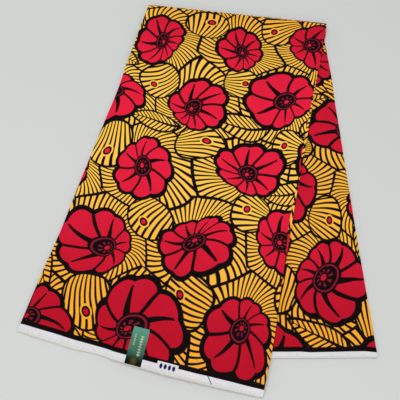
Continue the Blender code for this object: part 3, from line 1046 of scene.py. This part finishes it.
def lacquered_foil(sticker):
    """Hot-stamped foil paper: aluminium foil under green lacquer, with pale gold ornaments.

    That gives a deep green with a dull sheen of metal, darker towards the foot.
    """
    material, add = new_material("Lacquered foil paper")
    point, across, up = mapped_place(add)
    foot = {"Value": up, "From Min": 3.0, "From Max": 17.0, "To Min": 1.0, "To Max": 0.0}
    foot = add("MapRange", foot, interpolation_type="SMOOTHSTEP")
    cloud = add("TexNoise", {"Vector": point, "Scale": 1 / 14, "Detail": 2.0}).outputs["Fac"]
    bright = add("Math", cloud, 0.24, operation="MULTIPLY")
    bright = add("Math", up, 0.0145, bright, operation="MULTIPLY_ADD")
    green = add("Mix", 1.0, sticker.green, bright, data_type="RGBA", blend_type="MULTIPLY")

    # Two chains of small gold lozenges, and a round rosette low in the middle
    rosette, lobe_count, lobe_deep, rosette_wide = (9.8, 4.6, 0.0), 8.0, 0.5, 3.3
    chains = []
    for middle, low, high, pitch, half in ((5.0, 22.5, 35.5, 2.3, 1.3), (13.4, 11.0, 35.0, 3.1, 2.4)):
        along = add("Math", up, pitch / 2, operation="PINGPONG")
        side = outside(add, across, middle, half)
        shape = add("Math", along, 2 * half / pitch, side, operation="MULTIPLY_ADD")
        reach = outside(add, up, (low + high) / 2, (high - low) / 2)
        chains.append(add("Math", shape, reach, operation="MAXIMUM"))
    worn = add("Math", cloud, ink_edge(add, joined(add, *chains)), operation="MULTIPLY")
    gold = add("Math", worn, 1.1, operation="MULTIPLY", use_clamp=True)
    far, angle = polar(add, point, rosette)
    lobes = add("Math", add("Math", angle, lobe_count, operation="MULTIPLY"), operation="COSINE")
    lobes = add("Math", lobes, -lobe_deep, -rosette_wide, operation="MULTIPLY_ADD")
    disc = add("Math", far, lobes, operation="ADD")
    glow = add("Math", ink_edge(add, disc, 4.2), 0.27, operation="MULTIPLY")
    colour = inked(add, green, (foot, sticker.deep_green), (gold, sticker.gold), (glow, sticker.bronze))
    crinkle = add("TexNoise", {"Vector": point, "Scale": 1 / 3.5, "Detail": 2.0}).outputs["Fac"]
    look = {
        "Base Color": colour,
        "Metallic": 0.15,
        "Roughness": add("Math", crinkle, 0.2, 0.45, operation="MULTIPLY_ADD"),
        "Specular IOR Level": 0.02,
        "Coat Weight": 0.01,
        "Coat Roughness": 0.3,
        "Normal": add("Bump", {"Strength": 0.12, "Distance": 0.4 * MM, "Height": crinkle}),
    }
    add("OutputMaterial", add("BsdfPrincipled", look))
    return material


def sweep_paper(stage):
    """Matt seamless paper: wood-pulp card with no gloss, which gives an even pale ground."""
    material, add = new_material("Matt seamless paper")
    place = add("TexCoord").outputs["Object"]

    # Its fibres clump seven times in 10 mm, far coarser than real pulp, so that they show
    fibre = add("TexNoise", {"Vector": place, "Scale": 0.7 / MM, "Detail": 2.0}).outputs["Fac"]
    look = {
        "Base Color": stage.floor,
        "Roughness": 0.95,
        "Specular IOR Level": 0.1,
        "Normal": add("Bump", {"Strength": 0.05, "Distance": 0.2 * MM, "Height": fibre}),
    }
    add("OutputMaterial", add("BsdfPrincipled", look))
    return material


def shared_cotton(settings, fold):
    """The one printed cotton that every ply is made of."""
    made = bpy.data.materials.get(COTTON)
    return made or printed_cotton(settings.print, fold.cloth_wide - BACK_SHORT + OTHER_SELVEDGE_LESS)


def dress(piece, material, node):
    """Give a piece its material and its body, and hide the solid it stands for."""
    piece.data.materials.append(material)
    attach(piece, "root")
    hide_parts(node)
    return piece


def soft_light(name, watts, place, aim, size):
    """A big soft rectangular light."""
    data = bpy.data.lights.new(name, "AREA")
    data.shape = "RECTANGLE"
    data.size, data.size_y = size
    data.energy = watts
    light = bpy.data.objects.new(name, data)
    light.location = place
    light.rotation_euler = (Vector(aim) - Vector(place)).to_track_quat("-Z", "Y").to_euler()
    bpy.context.collection.objects.link(light)


class FOLDED_CLOTH_OT_stage(bpy.types.Operator):
    """Make the floor, the soft lights and the camera"""

    bl_idname = "folded_cloth.stage"
    bl_label = "Stage"
    bl_options = {"REGISTER", "UNDO"}

    def execute(self, context):
        settings = context.scene.folded_cloth
        stage = settings.stage
        data = bpy.data.meshes.new("floor")
        corners = [(x * FLOOR_HALF, y * FLOOR_HALF, 0) for x, y in ((-1, -1), (1, -1), (1, 1), (-1, 1))]
        data.from_pydata(corners, [], [(0, 1, 2, 3)])
        data.materials.append(sweep_paper(stage))
        floor = bpy.data.objects.new("floor", data)
        context.collection.objects.link(floor)

        soft_light("key", stage.key_watts, *KEY_LIGHT)
        soft_light("fill", stage.fill_watts, *FILL_LIGHT)
        world = bpy.data.worlds.new("Even sky")
        world.use_nodes = True
        sky = world.node_tree.nodes["Background"]
        sky.inputs["Color"].default_value = linear(SKY_COLOUR)
        sky.inputs["Strength"].default_value = stage.sky
        context.scene.world = world
        context.scene.view_settings.view_transform = "Standard"

        camera_data = bpy.data.cameras.new("camera")
        camera_data.lens = stage.lens
        camera_data.sensor_width = CAMERA_SENSOR
        camera = bpy.data.objects.new("camera", camera_data)
        camera.location = Fold(settings.cloth).corner + Vector(CAMERA_PLACE)
        camera.rotation_euler = Euler([math.radians(angle) for angle in CAMERA_TURN], "XYZ")
        context.collection.objects.link(camera)
        context.scene.camera = camera
        return {"FINISHED"}


class FOLDED_CLOTH_OT_showing(bpy.types.Operator):
    """Make the two plies that show, one on each leg"""

    bl_idname = "folded_cloth.showing"
    bl_label = "Showing plies"
    bl_options = {"REGISTER", "UNDO"}

    def execute(self, context):
        settings = context.scene.folded_cloth
        fold = Fold(settings.cloth)
        cotton = shared_cotton(settings, fold)
        front = dress(make_front_cloth(fold), cotton, "front_stretch")
        back = dress(make_back_cloth(fold), cotton, "back_stretch")
        round_turn = 2 * fold.turn_run + PLY_TAIL
        front_mean = (fold.long(FRONT, 0) + fold.long(FRONT, fold.wide)) / 2 + round_turn
        back_mean = (fold.long(BACK, 0) + fold.long(BACK, fold.wide)) / 2 - BACK_PLY_FROM
        return {"FINISHED"}


class FOLDED_CLOTH_OT_inner(bpy.types.Operator):
    """Make the plies between the showing ones"""

    bl_idname = "folded_cloth.inner"
    bl_label = "Inner plies"
    bl_options = {"REGISTER", "UNDO"}

    def execute(self, context):
        settings = context.scene.folded_cloth
        fold = Fold(settings.cloth)
        plies = settings.cloth.inner_plies
        inner = make_inner_plies(fold, plies)
        dress(inner, shared_cotton(settings, fold), "hidden_layers")
        return {"FINISHED"}


class FOLDED_CLOTH_OT_sticker(bpy.types.Operator):
    """Make the foil sticker"""

    bl_idname = "folded_cloth.sticker"
    bl_label = "Foil sticker"
    bl_options = {"REGISTER", "UNDO"}

    def execute(self, context):
        settings = context.scene.folded_cloth
        piece = make_foil_sticker(Fold(settings.cloth), settings.sticker)
        dress(piece, lacquered_foil(settings.sticker), "foil_label")
        return {"FINISHED"}


OPERATORS = (
    FOLDED_CLOTH_OT_stage,
    FOLDED_CLOTH_OT_inner,
    FOLDED_CLOTH_OT_showing,
    FOLDED_CLOTH_OT_sticker,
)


class FOLDED_CLOTH_PT_panel(bpy.types.Panel):
    """The folded cloth's operators and sizes"""

    bl_idname = "FOLDED_CLOTH_PT_panel"
    bl_label = "Folded Cloth"
    bl_space_type = "VIEW_3D"
    bl_region_type = "UI"
    bl_category = "Cloth"

    def draw(self, context):
        for operator in OPERATORS:
            self.layout.operator(operator.bl_idname)
        settings = context.scene.folded_cloth
        for group in (settings.cloth, settings.print, settings.sticker, settings.stage):
            box = self.layout.box()
            for name in group.__annotations__:
                box.prop(group, name)


GROUPS = (ClothSizes, PrintSizes, StickerSizes, StageSizes, FoldedClothSettings)
CLASSES = GROUPS + OPERATORS + (FOLDED_CLOTH_PT_panel,)


def register():
    for made in CLASSES:
        bpy.utils.register_class(made)
    bpy.types.Scene.folded_cloth = PointerProperty(type=FoldedClothSettings)


def unregister():
    del bpy.types.Scene.folded_cloth
    for made in reversed(CLASSES):
        bpy.utils.unregister_class(made)


def main():
    register()
    bpy.ops.folded_cloth.stage()
    bpy.ops.folded_cloth.inner()
    bpy.ops.folded_cloth.showing()
    bpy.ops.folded_cloth.sticker()


if __name__ == "__main__":
    main()
